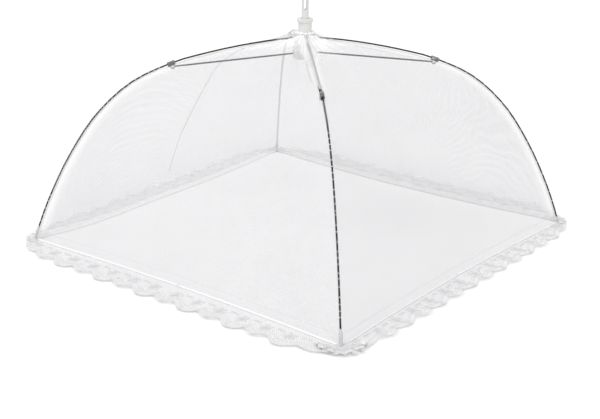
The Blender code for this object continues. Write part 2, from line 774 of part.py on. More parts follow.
def corner_pieces(rib, materials, crown_point, clip_point):
    """Name, mesh and origin of each piece of one corner, the rib first."""
    plastic = materials["white_plastic"]
    wire = materials["dark_wire"]
    steel = materials["pin_steel"]
    table = (
        ("rib", make_rib(rib), wire, CLOTH_DEGREES, crown_point),
        ("crown_pin", make_crown_pin(), steel, ROUND_DEGREES, crown_point),
        ("rib_clip", make_rib_clip(rib), wire, ROUND_DEGREES, clip_point),
        ("clip_rivet", make_clip_rivet(rib), steel, ROUND_DEGREES, clip_point),
        ("stretcher", make_stretcher(rib), wire, CLOTH_DEGREES, clip_point),
        ("rib_tip", make_rib_tip(rib), plastic, ROUND_DEGREES, crown_point),
    )
    return [(name, finish(set_origin(item, origin), name, material, degrees), origin)
            for name, item, material, degrees, origin in table]


def side_meshes(cloth, materials):
    """The cloth meshes of one side, and the wide and the narrow lace."""
    tape = materials["white_tape"]
    lace = materials["white_lace"]
    meshes = {
        "seam_binding": finish(make_seam_binding(cloth), "seam_binding", tape, CLOTH_DEGREES),
        "mesh_gore": finish(make_mesh_gore(cloth), "mesh_gore", materials["white_net"],
                            CLOTH_DEGREES),
        "hem_band": finish(make_hem_band(cloth), "hem_band", tape, CLOTH_DEGREES),
    }
    trims = [
        finish(make_lace_trim(cloth, reach, flute), name, lace, CLOTH_DEGREES)
        for name, reach, flute in (("lace_wide", LACE_REACH_WIDE, FLUTE_HEIGHT_WIDE),
                                   ("lace_narrow", LACE_REACH_NARROW, FLUTE_HEIGHT_NARROW))
    ]
    return meshes, trims


def build():
    clear_scene()
    materials = {name: make_material(name, *look) for name, look in MATERIAL_LOOKS.items()}
    rib = rib_curve()
    cloth = cloth_curve(rib)
    clip_pivot = clip_place(rib)[2]
    crown_point = (PIVOT_RADIUS, 0, CROWN_PIVOT_HEIGHT)
    clip_point = (clip_pivot[0], 0, clip_pivot[1])
    add_hub(materials, (0, 0, RUNNER_PIVOT_HEIGHT))
    pieces = corner_pieces(rib, materials, crown_point, clip_point)
    meshes, trims = side_meshes(cloth, materials)
    for number in range(1, CORNERS + 1):
        corner_angle = math.tau * (number - 0.5) / CORNERS
        corner = add_frame(f"corner_frame_{number}", corner_angle)
        rib_piece = None
        for name, mesh, origin in pieces:
            if rib_piece is None:
                rib_piece = add_piece(f"{name}_{number}", mesh, origin, corner)
            elif name == "crown_pin":
                add_piece(f"{name}_{number}", mesh, origin, corner)
            else:
                add_piece(f"{name}_{number}", mesh, origin, rib_piece, crown_point)
        end_side = add_frame(f"binding_frame_{number}", corner_angle - math.pi / CORNERS)
        side = add_frame(f"side_frame_{number}", corner_angle + math.pi / CORNERS)
        for name, mesh in meshes.items():
            frame = end_side if name == "seam_binding" else side
            add_piece(f"{name}_{number}", mesh, parent=frame)
        add_piece(f"lace_trim_{number}", trims[(number - 1) % len(trims)], parent=side)


build()
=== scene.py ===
"""Looks of the pop-up mesh food cover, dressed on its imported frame. Lengths are in metres."""
import math
import random

import bpy
import numpy as np
from mathutils import Matrix, Vector, noise


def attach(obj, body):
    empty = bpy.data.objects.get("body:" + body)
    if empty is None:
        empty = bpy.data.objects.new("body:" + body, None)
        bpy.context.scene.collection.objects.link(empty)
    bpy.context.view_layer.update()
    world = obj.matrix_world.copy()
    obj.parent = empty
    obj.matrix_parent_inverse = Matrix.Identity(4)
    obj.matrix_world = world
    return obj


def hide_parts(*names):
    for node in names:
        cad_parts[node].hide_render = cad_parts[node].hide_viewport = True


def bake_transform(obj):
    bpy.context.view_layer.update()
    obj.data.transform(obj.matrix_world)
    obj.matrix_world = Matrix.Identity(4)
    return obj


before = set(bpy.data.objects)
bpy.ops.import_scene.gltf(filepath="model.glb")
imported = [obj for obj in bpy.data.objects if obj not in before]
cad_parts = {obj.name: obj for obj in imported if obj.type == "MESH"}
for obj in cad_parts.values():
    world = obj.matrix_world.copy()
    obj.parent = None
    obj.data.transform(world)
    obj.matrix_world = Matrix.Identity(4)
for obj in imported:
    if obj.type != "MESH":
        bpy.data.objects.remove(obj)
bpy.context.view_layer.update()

# Sizes that the frame was made with
SIDE = 0.432
CORNERS = 4
REACH = SIDE / math.sqrt(2)
PIVOT_HEIGHT = 0.228
PIVOT_RADIUS = 0.0105
RIB_SHAPE_SHARES = (
    (0.0344, 1.0), (0.12, 0.989), (0.236, 0.965), (0.36, 0.93), (0.48, 0.885), (0.63, 0.79),
    (0.76, 0.63), (0.86, 0.43), (0.93, 0.245), (0.975, 0.1), (1.0, 0.0),
)
CURVE_SAMPLES = 16
TIP_RADIUS = 0.0017
CLIP_PLACE_SHARE = 0.3455
NET_RISE_TO_CAP = 0.0062
NET_RISE_RUN = 0.0305
NET_TOP_RADIUS = 0.0096
NET_SAG = 0.011
NET_SAG_SHARES = ((0.0, 0.0), (0.35, 0.8), (0.55, 1.0), (0.78, 0.5), (1.0, 0.65))
HEM_LEVEL_POWER = 8
HEM_WIDTH = 0.009
HEM_FOOT_HEIGHT = 0.0012
SCALLOPS = 14

# Corners 1 to 4 are right, back, left and front. Side 1 lies between corners 1 and 2, and so on.
RIGHT, BACK, FRONT = 1, 2, 4
BACK_LEFT_SIDE = 2
ROOT = "crown_and_net"

# How the net lies on the wire. Places are distances down the line of the cloth.
CLOTH_PAST_RIB = 0.006
COVER_ABOVE, COVER_BELOW, COVER_BEHIND_TIP = 0.0012, -0.0012, -0.0021
COVER_LIFT = 0.0002
PASS_AT_CROWN, PASS_BEFORE_CLIP, PASS_RUN = 0.020, 0.014, 0.008
TIP_PASS_BEFORE_FOOT, TIP_PASS_RUN = 0.016, 0.006
CLIP_SLIT = 0.0025
SLIT_FROM, SLIT_OPENING = -0.022, 0.007
SLIT_TO, SLIT_CLOSING = 0.008, 0.006
SEAM_OPEN = 0.0008
SEAM_CLOSED = 0.00015
SEAM_CLOSES_FROM, SEAM_CLOSING = -0.02, 0.01
SEAM_PULL_REACH = 0.014

# Small folds of the net, and its crease
GATHER_FOLD = 0.0011
DRAPE_FOLD = 0.0032
SLACK_FOLD = 0.0009
PULL_FOLD = 0.0007
CREASE_TURN = 0.018

# Hem. The far sides bow in, the back left one most near its left corner.
HEM_BOW = {1: 0.008, 2: 0.008, 3: 0.0, 4: 0.0}
HEM_BOW_LATE = {1: 0.0, 2: 0.032, 3: 0.0, 4: 0.0}
HEM_BOW_POWER = 4
HEM_COLUMNS = 60
HEM_LIFT = 0.0004
HEM_LAP = 0.0004
HEM_STITCH_DROP = 0.0008
HEM_TAPE_PROFILE = ((0.0018, 0.0002), (0.0015, 0.0009), (0.0009, 0.0014), (0.0, 0.0018))

# Seam tape, sleeve and stitches
TAPE_THICKNESS = 0.0002
TAPE_BROAD = 0.0085
TAPE_MORE_AT_CROWN = 0.0015
TAPE_NARROW = 0.0014
TAPE_OTHER_SIDE = 0.0010
TAPE_LEAST = 0.0009
TAPE_SHARES = (0, 0.15, 0.35, 0.6, 1.0)
TAPE_UNDER_NET = 0.0004
TAPE_BEHIND_WIRE = 0.0013
SLEEVE_RADIUS = 0.0013
STITCH_REACH = 0.00118
CLOSE_PITCH = 0.0008
CLOSE_STITCHES = {1: (0, 0), 3: (0.222, 0.283), 4: (0.120, 0.190)}
WIDE_PITCH = {1: 0.014, 3: 0.008, 4: 0.0075}

# Lace of each side: how far it lies out, how high its waves stand, the length that it is cut
# from and the length that its pattern is drawn on
LACE_REACH = {1: 0.038, 2: 0.034, 3: 0.040, 4: 0.026}
LACE_FLUTE = {1: 0.002, 2: 0.0015, 3: 0.004, 4: 0.002}
LACE_RUN = 0.44
LACE_END = 0.004
LACE_UNDER_HEM = 0.0012
LACE_CORNER_RUN = 0.045
LACE_HEIGHT = 0.0005
LACE_FLAT_SHARE = 0.25
RUFFLE = 0.0011
SCALLOP_SHARE = 0.22
PETAL = 0.0006
BAND_LIFT, RIM_LIFT, CORD_LIFT = 0.0002, 0.0003, 0.0004
FAN_SHARE, FAN_PAST = 0.72, 0.0032
CORNER_LACE = {1: 0.014, 2: 0.014, 3: 0.015, 4: 0.028}
CORNER_LACE_CUT = (0.09, 0.024)
CORNER_CORD = 0.0003
CORNER_FAN = math.radians(82)
CORNER_PLEATS = 24
CORNER_HEIGHT, CORNER_RISE, CORNER_WAVE = 0.0012, 0.0028, 0.0022
CORNER_INSET = 0.0045
CORNER_HOLE = 0.003

# Camera, fitted to the photograph
CAMERA_AZIMUTH = 38.121
CAMERA_ELEVATION = 20.133
CAMERA_ROLL = 0.603
CAMERA_DISTANCE = 1.4928
CAMERA_RIGHT = -0.0031
CAMERA_UP = 0.0242
FOCAL_PIXELS = 1282.43
PHOTO_WIDTH = 600
SENSOR = 36.0

# Light, and the floor's place below the lace
WORLD_LIGHT = 0.6
FLOOR_DROP = 0.0004


# Lines in the plane of a rib
class Line:
    """A line of (radius, height) points, read by distance along it."""

    def __init__(self, points):
        self.points = np.array(points, float)
        runs = np.linalg.norm(np.diff(self.points, axis=0), axis=1)
        self.places = np.concatenate(([0.0], np.cumsum(runs)))
        self.length = float(self.places[-1])
        steps = np.gradient(self.points, self.places, axis=0)
        self.ways = steps / np.linalg.norm(steps, axis=1)[:, None]

    def at(self, distance):
        """Point and direction at a distance, as (radius, height, radius way, height way)."""
        values = [np.interp(distance, self.places, column)
                  for column in (*self.points.T, *self.ways.T)]
        size = math.hypot(values[2], values[3])
        return values[0], values[1], values[2] / size, values[3] / size

    def nearest(self, radius, height):
        """The distance along it of its point that is nearest to another point."""
        gap = np.hypot(self.points[:, 0] - radius, self.points[:, 1] - height)
        return float(self.places[int(gap.argmin())])


def spaced(low, high, count):
    """Even places from low to high, with both of them."""
    return [low + (high - low) * step / count for step in range(count + 1)]


def smooth_curve(points, samples):
    """Catmull-Rom curve through points, with the end runs continued straight."""
    points = [Vector(point) for point in points]
    padded = [points[0] * 2 - points[1], *points, points[-1] * 2 - points[-2]]
    curve = []
    for index in range(1, len(padded) - 2):
        before, start, end, after = padded[index - 1:index + 3]
        for step in range(samples):
            t = step / samples
            curve.append(0.5 * (2 * start + (end - before) * t
                                + (2 * before - 5 * start + 4 * end - after) * t ** 2
                                + (3 * start - before - 3 * end + after) * t ** 3))
    curve.append(points[-1])
    return curve


def rib_points():
    rise = PIVOT_HEIGHT - TIP_RADIUS
    points = [(REACH * out, TIP_RADIUS + rise * up) for out, up in RIB_SHAPE_SHARES]
    points[0] = (PIVOT_RADIUS, PIVOT_HEIGHT)
    return smooth_curve(points, CURVE_SAMPLES)


def cloth_points(rib):
    """The line of the cloth on a rib, from under the cap down to the foot of the hem."""
    way = (rib[-1] - rib[-2]).normalized()
    curve = [*rib, rib[-1] + way * CLOTH_PAST_RIB]
    raised = []
    top = Vector((NET_TOP_RADIUS, curve[0][1]))
    for point in [top] + [point for point in curve if point[0] > NET_TOP_RADIUS]:
        share = min(1.0, (point[0] - NET_TOP_RADIUS) / NET_RISE_RUN)
        raised.append(point + Vector((0, NET_RISE_TO_CAP * (1 - share) ** 2)))
    while raised[-2][1] < HEM_FOOT_HEIGHT:
        raised.pop()
    last, before = raised[-1], raised[-2]
    raised[-1] = before.lerp(last, (before[1] - HEM_FOOT_HEIGHT) / (before[1] - last[1]))
    return raised


def smooth(value):
    """0 up to 0 and 1 from 1, with a soft rise between."""
    value = max(0.0, min(1.0, value))
    return value * value * (3 - 2 * value)


RIB = Line(rib_points())
CLOTH = Line(cloth_points(rib_points()))
CLIP_PLACE = RIB.length * CLIP_PLACE_SHARE
CLOTH_CLIP = CLOTH.nearest(*RIB.at(CLIP_PLACE)[:2])
HEM_TOP = CLOTH.length - HEM_WIDTH


def corner_angle(corner):
    """Azimuth of a corner, counted from 1."""
    return math.tau * (corner - 0.5) / CORNERS


def side_angle(side):
    return math.tau * side / CORNERS


def corner_of(side, part):
    """The corner that a half side ends at."""
    return side if part == "a" else side % CORNERS + 1


def turned(point, angle):
    return Matrix.Rotation(angle, 3, "Z") @ Vector(point)


def half_side(place):
    """Half the width of a side, from its middle to its seam."""
    return CLOTH.at(place)[0] / math.sqrt(2)


def seam_cover(place, corner):
    """How far the cloth stands off the wire's centre at a seam. At the front and back it lies
    over the wire from the crown to the clip, and behind it from there to the tip."""
    start = CLOTH_CLIP - PASS_BEFORE_CLIP if corner in (BACK, FRONT) else PASS_AT_CROWN
    passed = smooth((place - start) / PASS_RUN)
    at_tip = smooth((place - (CLOTH.length - TIP_PASS_BEFORE_FOOT)) / TIP_PASS_RUN)
    return (COVER_ABOVE + (COVER_BELOW - COVER_ABOVE) * passed
            + (COVER_BEHIND_TIP - COVER_BELOW) * at_tip)


def seam_slit(place):
    """Half the slit that the net leaves for the clip and for the wire as it comes through."""
    beside = place - CLOTH_CLIP
    opened = smooth((beside - SLIT_FROM) / SLIT_OPENING)
    opened *= 1 - smooth((beside - SLIT_TO) / SLIT_CLOSING)
    closed = smooth((beside - SEAM_CLOSES_FROM) / SEAM_CLOSING)
    edges = SEAM_OPEN + (SEAM_CLOSED - SEAM_OPEN) * closed
    return edges + (CLIP_SLIT - edges) * opened


def wrinkle(side, share, along, half):
    """Small folds of the net, square to it. They end at its edges."""
    across = along / half
    inside = (1 - across ** 2) * min(1.0, share * 12) * min(1.0, (1 - share) * 9)
    if inside <= 0:
        return 0.0
    seed = side * 7.3
    gathers = math.sin(across * 17 + seed + 3 * noise.noise((share * 3, seed, 0)))
    gathers *= GATHER_FOLD * math.exp(-share * 3.2)
    drape = noise.noise((across * 2.3 + seed, share * 2.1, seed)) * DRAPE_FOLD
    slack = noise.noise((across * 7 + seed, share * 5, 4 + seed)) * SLACK_FOLD
    pull = math.sin((abs(across) * 5 + share * 7) * 2.2 + seed)
    pull *= PULL_FOLD * abs(across) * share
    return inside * (gathers + drape + slack + pull)


def hem_bow(side, across):
    """How far a hem bows in, at a share of its half length from -1 to 1."""
    return (HEM_BOW[side] + HEM_BOW_LATE[side] * max(0.0, across) ** 2) * (1 - across ** 2)


def net_point(side, place, along, lift=0.0):
    """A point of the cloth of a side: place runs down it, along runs across it."""
    radius, height, way_out, way_up = CLOTH.at(place)
    share = place / CLOTH.length
    half = radius / math.sqrt(2)
    normal = (-way_up, way_out)
    across = min(1.0, abs(along) / half)
    sag = NET_SAG * float(np.interp(share, *zip(*NET_SAG_SHARES))) * (1 - across ** 2)
    near_seam = math.exp(-((half - abs(along)) / SEAM_PULL_REACH) ** 2)
    corner = corner_of(side, "a" if along < 0 else "b")
    lift = lift + seam_cover(place, corner) * near_seam
    lift += wrinkle(side, share, max(-half, min(half, along)), half)
    out = half - normal[0] * sag + normal[0] * lift
    out -= hem_bow(side, math.copysign(across, along)) * share ** HEM_BOW_POWER
    up = height - normal[1] * sag * (1 - share ** HEM_LEVEL_POWER) + normal[1] * lift
    return turned((out, along, up), side_angle(side))


# Meshes
class Shape:
    """Vertices, faces and cloth coordinates that make one mesh."""

    def __init__(self):
        self.verts = []
        self.faces = []
        self.coords = []

    def grid(self, points, coords, closed=False):
        """A sheet over rows of points, with their places on the flat cloth."""
        first = len(self.verts)
        rows, columns = len(points), len(points[0])
        for i in range(rows):
            for j in range(columns):
                self.verts.append(tuple(points[i][j]))
                self.coords.append(coords[i][j])
        for i in range(rows - 1):
            for j in range(columns if closed else columns - 1):
                a = first + i * columns + j
                b = first + i * columns + (j + 1) % columns
                self.faces.append((a, b, b + columns, a + columns))

    def tube(self, points, radius, sides, closed=False, up=(0, 0, 1)):
        """A round thread along points. Its radius may be a function of the share along it."""
        points = [Vector(point) for point in points]
        count = len(points)
        first = len(self.verts)
        side_way = None
        length = 0.0
        for index, point in enumerate(points):
            if closed:
                way = points[(index + 1) % count] - points[index - 1]
            else:
                way = points[min(index + 1, count - 1)] - points[max(index - 1, 0)]
            way.normalize()
            if side_way is None:
                side_way = way.cross(Vector(up))
                if side_way.length < 1e-4:
                    side_way = way.cross(Vector((1, 0.3, 0)))
            side_way = (side_way - way * side_way.dot(way)).normalized()
            other = way.cross(side_way)
            width = radius(index / max(1, count - 1)) if callable(radius) else radius
            if index:
                length += (point - points[index - 1]).length
            for step in range(sides):
                angle = math.tau * step / sides
                offset = side_way * math.cos(angle) + other * math.sin(angle)
                self.verts.append(tuple(point + offset * width))
                self.coords.append((length, width * angle))
        for index in range(count if closed else count - 1):
            near = first + index * sides
            far = first + (index + 1) % count * sides
            for step in range(sides):
                after = (step + 1) % sides
                self.faces.append((near + step, near + after, far + after, far + step))
        if not closed:
            self.faces.append(tuple(first + step for step in reversed(range(sides))))
            last = first + (count - 1) * sides
            self.faces.append(tuple(last + step for step in range(sides)))

    def object(self, name, material, thickness=0.0):
        """Makes the piece of the scene, with its material."""
        mesh = bpy.data.meshes.new(name)
        mesh.from_pydata(self.verts, [], self.faces)
        layer = mesh.uv_layers.new(name="cloth")
        coords = np.array(self.coords, np.float32)
        loops = np.zeros(len(mesh.loops), np.int32)
        mesh.loops.foreach_get("vertex_index", loops)
        layer.data.foreach_set("uv", coords[loops].ravel())
        mesh.materials.append(material)
        mesh.shade_smooth()
        mesh.update()
        item = bpy.data.objects.new(name, mesh)
        bpy.context.scene.collection.objects.link(item)
        if thickness:
            solid = item.modifiers.new("cloth", "SOLIDIFY")
            solid.thickness = thickness
            solid.offset = 0
        return item


# Materials
def link(tree, out, into):
    tree.links.new(out, into)


def fill(tree, node, values):
    """Puts values, or the outputs of other nodes, into a node's first inputs."""
    for socket, value in zip(node.inputs, values):
        if isinstance(value, (int, float, tuple)):
            socket.default_value = value
        else:
            link(tree, value, socket)


def math_node(tree, operation, *values, clamp=False):
    node = tree.nodes.new("ShaderNodeMath")
    node.operation = operation
    node.use_clamp = clamp
    fill(tree, node, values)
    return node.outputs[0]


def times(tree, first, second, clamp=False):
    return math_node(tree, "MULTIPLY", first, second, clamp=clamp)


def vector_node(tree, operation, *values):
    node = tree.nodes.new("ShaderNodeVectorMath")
    node.operation = operation
    fill(tree, node, values)
    return node.outputs["Value" if operation == "DOT_PRODUCT" else "Vector"]


def ramp(tree, value, low, high, start, end):
    """A straight remap of a value, held at its ends."""
    node = tree.nodes.new("ShaderNodeMapRange")
    link(tree, value, node.inputs["Value"])
    for name, number in (("From Min", low), ("From Max", high), ("To Min", start),
                         ("To Max", end)):
        node.inputs[name].default_value = number
    return node.outputs[0]


def colour_mix(tree, factor, first, second):
    """A mix of two colours, where the first may come from another node."""
    node = tree.nodes.new("ShaderNodeMix")
    node.data_type = "RGBA"
    link(tree, factor, node.inputs["Factor"])
    if isinstance(first, tuple):
        node.inputs["A"].default_value = (*first, 1)
    else:
        link(tree, first, node.inputs["A"])
    node.inputs["B"].default_value = (*second, 1)
    return node.outputs["Result"]


def shaded(colour, share):
    return tuple(value * share for value in colour)


def split(tree, vector):
    """The three parts of a vector."""
    node = tree.nodes.new("ShaderNodeSeparateXYZ")
    link(tree, vector, node.inputs[0])
    return node.outputs


def noise_node(tree, vector, scale, detail=2.0):
    node = tree.nodes.new("ShaderNodeTexNoise")
    node.inputs["Scale"].default_value = scale
    node.inputs["Detail"].default_value = detail
    link(tree, vector, node.inputs["Vector"])
    return node.outputs["Fac"]


def bump(tree, height, shader, strength, distance):
    node = tree.nodes.new("ShaderNodeBump")
    node.inputs["Strength"].default_value = strength
    node.inputs["Distance"].default_value = distance
    link(tree, height, node.inputs["Height"])
    link(tree, node.outputs[0], shader.inputs["Normal"])


def start_material(name, roughness, metallic=0.0, specular=0.5):
    material = bpy.data.materials.new(name)
    material.use_nodes = True
    tree = material.node_tree
    shader = tree.nodes["Principled BSDF"]
    shader.inputs["Roughness"].default_value = roughness
    shader.inputs["Metallic"].default_value = metallic
    shader.inputs["Specular IOR Level"].default_value = specular
    coords = tree.nodes.new("ShaderNodeTexCoord")
    return material, tree, shader, coords


def honeycomb(tree, coords, pitch):
    """0 in the middle of each six-sided hole of a net, 0.5 on its threads."""
    size = (1.0, math.sqrt(3), 1.0)
    flat = vector_node(tree, "MULTIPLY", coords.outputs["UV"], (1 / pitch, 1 / pitch, 0))
    distances = []
    for shift in ((0, 0, 0), (0.5, math.sqrt(3) / 2, 0)):
        moved = vector_node(tree, "DIVIDE", vector_node(tree, "SUBTRACT", flat, shift), size)
        inside = vector_node(tree, "SUBTRACT", vector_node(tree, "FRACTION", moved),
                             (0.5, 0.5, 0))
        cell = vector_node(tree, "MULTIPLY", inside, (size[0], size[1], 0))
        folded = vector_node(tree, "ABSOLUTE", cell)
        across = vector_node(tree, "DOT_PRODUCT", folded, (1, 0, 0))
        slanted = vector_node(tree, "DOT_PRODUCT", folded, (0.5, math.sqrt(3) / 2, 0))
        distances.append(math_node(tree, "MAXIMUM", across, slanted))
    return math_node(tree, "MINIMUM", *distances)


def seam_distance(tree, across, down):
    """How far a point of the net is from its seam, by the line of its edge."""
    marks = 20
    edge = tree.nodes.new("ShaderNodeValToRGB")
    link(tree, ramp(tree, down, 0.0, HEM_TOP, 0.0, 1.0), edge.inputs["Fac"])
    stops = edge.color_ramp.elements
    while len(stops) < marks:
        stops.new(1.0)
    for index in range(marks):
        share = index / (marks - 1)
        stops[index].position = share
        value = CLOTH.at(share * HEM_TOP)[0] / REACH
        stops[index].color = (value, value, value, 1)
    half = times(tree, edge.outputs["Color"], REACH / math.sqrt(2))
    return math_node(tree, "SUBTRACT", half, math_node(tree, "ABSOLUTE", across))


def gathers(tree, across, down, from_seam, clear):
    """How much the net is bunched: fully under the cap, in pleats that spread and fade. It
    stays single for the clear width beside its seam."""
    spread = math_node(tree, "DIVIDE", across, math_node(tree, "ADD", down, NET_TOP_RADIUS))
    pleats = math_node(tree, "SINE", times(tree, spread, 60.0))
    tight = times(tree, ramp(tree, down, 0.004, 0.030, 0.9, 0.55),
                  ramp(tree, down, 0.024, 0.070, 1.0, 0.0))
    beside = times(tree, ramp(tree, from_seam, 0.011, 0.019, 0.85, 0.0),
                   ramp(tree, down, 0.045, 0.090, 1.0, 0.0))
    folded = times(tree, math_node(tree, "MAXIMUM", tight, beside),
                   ramp(tree, pleats, -1.0, 1.0, 0.8, 1.1))
    return times(tree, folded, ramp(tree, from_seam, clear, clear + 0.003, 0.0, 1.0))


def net_material(name, pitch, thread, colour, hole_alpha, thread_alpha, seam=None):
    """Sheer knotted net: threads of a share of the pitch, and near-clear holes. With a seam
    given as (width, end place, clear width), it is gathered at its top, and beside that seam
    and in its gathers its colour is painted pale white as painted light."""
    material, tree, shader, coords = start_material(name, 0.7, specular=0.3)
    edge = honeycomb(tree, coords, pitch)
    strand = ramp(tree, edge, 0.5 - thread, 0.5 - thread * 0.55, 0.0, 1.0)
    alpha = math_node(tree, "MULTIPLY_ADD", strand, thread_alpha - hole_alpha, hole_alpha)
    cloudy = ramp(tree, noise_node(tree, coords.outputs["UV"], 9.0), 0.3, 0.7, 0.92, 1.08)
    alpha = times(tree, alpha, cloudy, clamp=True)
    tint = ramp(tree, noise_node(tree, coords.outputs["UV"], 42.0), 0.35, 0.65, 0.0, 1.0)
    shade = colour_mix(tree, tint, colour, shaded(colour, 0.95))
    if seam:
        width, end_place, clear = seam
        across, down, _ = split(tree, coords.outputs["UV"])
        from_seam = seam_distance(tree, across, down)
        bunched = gathers(tree, across, down, from_seam, clear)
        alpha = math_node(tree, "MAXIMUM", alpha, bunched)
        # Painted light: beside the seam and where it is bunched, the net's colour is mixed to
        # pale white.
        beside = times(tree, ramp(tree, from_seam, 0.3 * width, width, 1, 0),
                       ramp(tree, down, end_place - 0.03, end_place, 1, 0))
        pale = math_node(tree, "MAXIMUM", beside, times(tree, bunched, 2.0, clamp=True))
        shade = colour_mix(tree, pale, shade, PALE)
    link(tree, alpha, shader.inputs["Alpha"])
    link(tree, shade, shader.inputs["Base Color"])
    bump(tree, edge, shader, 0.5, 0.0002)
    return material


def woven_material(name, colour, pitch, alpha, strength):
    """Plain woven tape: over and under threads across its width and length."""
    material, tree, shader, coords = start_material(name, 0.8, specular=0.3)
    across, down, _ = split(tree, vector_node(tree, "MULTIPLY", coords.outputs["UV"],
                                              (math.pi / pitch, math.pi / pitch, 0)))
    woven = times(tree, math_node(tree, "ABSOLUTE", math_node(tree, "SINE", across)),
                  math_node(tree, "ABSOLUTE", math_node(tree, "SINE", down)))
    shade = colour_mix(tree, ramp(tree, woven, 0.0, 0.5, 1.0, 0.0), colour, shaded(colour, 0.94))
    link(tree, shade, shader.inputs["Base Color"])
    if alpha < 1:
        link(tree, ramp(tree, woven, 0.0, 0.6, alpha - 0.25, min(1.0, alpha + 0.15)),
             shader.inputs["Alpha"])
    bump(tree, woven, shader, strength, 0.0003)
    return material


def thread_material(name, colour):
    """Twisted sewing thread."""
    material, tree, shader, coords = start_material(name, 0.75, specular=0.3)
    twist = 5200.0
    along, around, _ = split(tree, coords.outputs["UV"])
    slanted = math_node(tree, "MULTIPLY_ADD", along, twist, times(tree, around, twist))
    ply = math_node(tree, "SINE", slanted)
    shade = colour_mix(tree, ramp(tree, ply, -1, 1, 1, 0), colour, shaded(colour, 0.9))
    link(tree, shade, shader.inputs["Base Color"])
    bump(tree, ply, shader, 0.4, 0.0001)
    return material


def plastic_material(name, colour, roughness):
    """Moulded plastic with faint flow marks and a fine grain."""
    material, tree, shader, coords = start_material(name, roughness)
    flow = noise_node(tree, coords.outputs["Object"], 60.0, 3.0)
    shade = colour_mix(tree, ramp(tree, flow, 0.35, 0.7, 0.0, 1.0), colour,
                       shaded(colour, 0.955))
    link(tree, shade, shader.inputs["Base Color"])
    grain = noise_node(tree, coords.outputs["Object"], 2600.0, 2.0)
    link(tree, ramp(tree, grain, 0.3, 0.7, roughness - 0.05, roughness + 0.08),
         shader.inputs["Roughness"])
    bump(tree, grain, shader, 0.12, 0.0001)
    return material


def wire_material(name, colour, worn, roughness, metallic, specular):
    """Coated wire, a little paler where the coat has rubbed."""
    material, tree, shader, coords = start_material(name, roughness, metallic, specular)
    rub = noise_node(tree, coords.outputs["Object"], 230.0, 4.0)
    link(tree, colour_mix(tree, ramp(tree, rub, 0.56, 0.72, 0.0, 1.0), colour, worn),
         shader.inputs["Base Color"])
    link(tree, ramp(tree, rub, 0.3, 0.7, roughness + 0.08, roughness - 0.08),
         shader.inputs["Roughness"])
    bump(tree, noise_node(tree, coords.outputs["Object"], 1500.0, 2.0), shader, 0.15, 0.0001)
    return material


# Pitches of the nets and weaves, and colours that several of them share
NET_PITCH = 0.0016
LACE_PITCH = 0.0019
TAPE_PITCH = 0.0007
# Painted shade: the net is white, and this grey stands in for the shade on its threads.
NET_PAINTED_SHADE_GREY = (0.63, 0.63, 0.66)
PALE = (0.96, 0.96, 0.96)
# Painted light: the far sides' lace, hem tape and threads are painted this paler white.
FAR_PAINTED_LIGHT_WHITE = (0.97, 0.97, 0.97)

# The net of each corner, with the width beside its seam that is painted pale as painted
# light, the place where that ends, and the width beside the wire that stays clear
NETS = {
    corner: net_material(f"sheer_net_painted_shade_and_light_{corner}", NET_PITCH, 0.085, NET_PAINTED_SHADE_GREY, 0.02, 0.95, seam)
    for corner, seam in ((1, (0.016, 0.5, 0.008)), (2, (0.002, 0.1, 0.0014)),
                         (3, (0.016, 0.5, 0.008)), (4, (0.012, 0.15, 0.0014)))
}
COVER_NET = net_material("cover_net", 0.0010, 0.10, (0.95, 0.95, 0.95), 0.36, 0.8)
# Painted shade: the crease's net is a darker copy of the net, for the shade in the fold.
NET_FOLD_PAINTED_SHADE = net_material("net_fold_painted_shade", 0.0008, 0.12, (0.55, 0.55, 0.57), 0.3, 0.8)

# Hem and lace: False is for the far sides, True for the near ones. The far copies are painted
# paler than the near ones, as painted light, and the near hem net has the nets' painted grey
# shade.
HEM_NET_PAINTED_SHADE_AND_LIGHT = {
    # Painted light on the far hem, painted shade (the nets' grey) on the near hem.
    False: net_material("hem_net_back_painted_light", NET_PITCH, 0.05, (0.9, 0.9, 0.91), 0.01, 0.8),
    True: net_material("hem_net", NET_PITCH, 0.085, (0.66, 0.66, 0.69), 0.02, 0.95),
}
LACE_GROUND = {
    False: net_material("lace_ground_back_painted_light", LACE_PITCH, 0.05, FAR_PAINTED_LIGHT_WHITE, 0.01, 0.45),
    True: net_material("lace_ground", LACE_PITCH, 0.10, (0.90, 0.90, 0.915), 0.28, 0.9),
}
LACE_BAND = {
    False: woven_material("lace_band_back_painted_light", FAR_PAINTED_LIGHT_WHITE, TAPE_PITCH, 0.25, 0.1),
    True: woven_material("lace_band", (0.95, 0.95, 0.95), TAPE_PITCH, 0.7, 0.15),
}
LACE_THREAD = {
    False: thread_material("lace_thread_back_painted_light", FAR_PAINTED_LIGHT_WHITE),
    True: thread_material("lace_thread", (0.9, 0.9, 0.91)),
}
TAPE = woven_material("seam_tape", PALE, TAPE_PITCH, 1.0, 0.25)
BACK_TAPE = woven_material("hem_tape_back_painted_light", FAR_PAINTED_LIGHT_WHITE, TAPE_PITCH, 0.45, 0.1)
GATHER = woven_material("gathered_net", PALE, 0.0008, 1.0, 0.3)
THREAD = thread_material("white_thread", (0.95, 0.95, 0.95))
# Painted shade: a grey copy of the white thread, for the shade line along the far hems' seams.
HEM_SHADE_LINE_THREAD = thread_material("hem_thread_painted_shade", (0.72, 0.72, 0.73))
HUB_PLASTIC = plastic_material("hub_plastic", (0.93, 0.93, 0.92), 0.4)
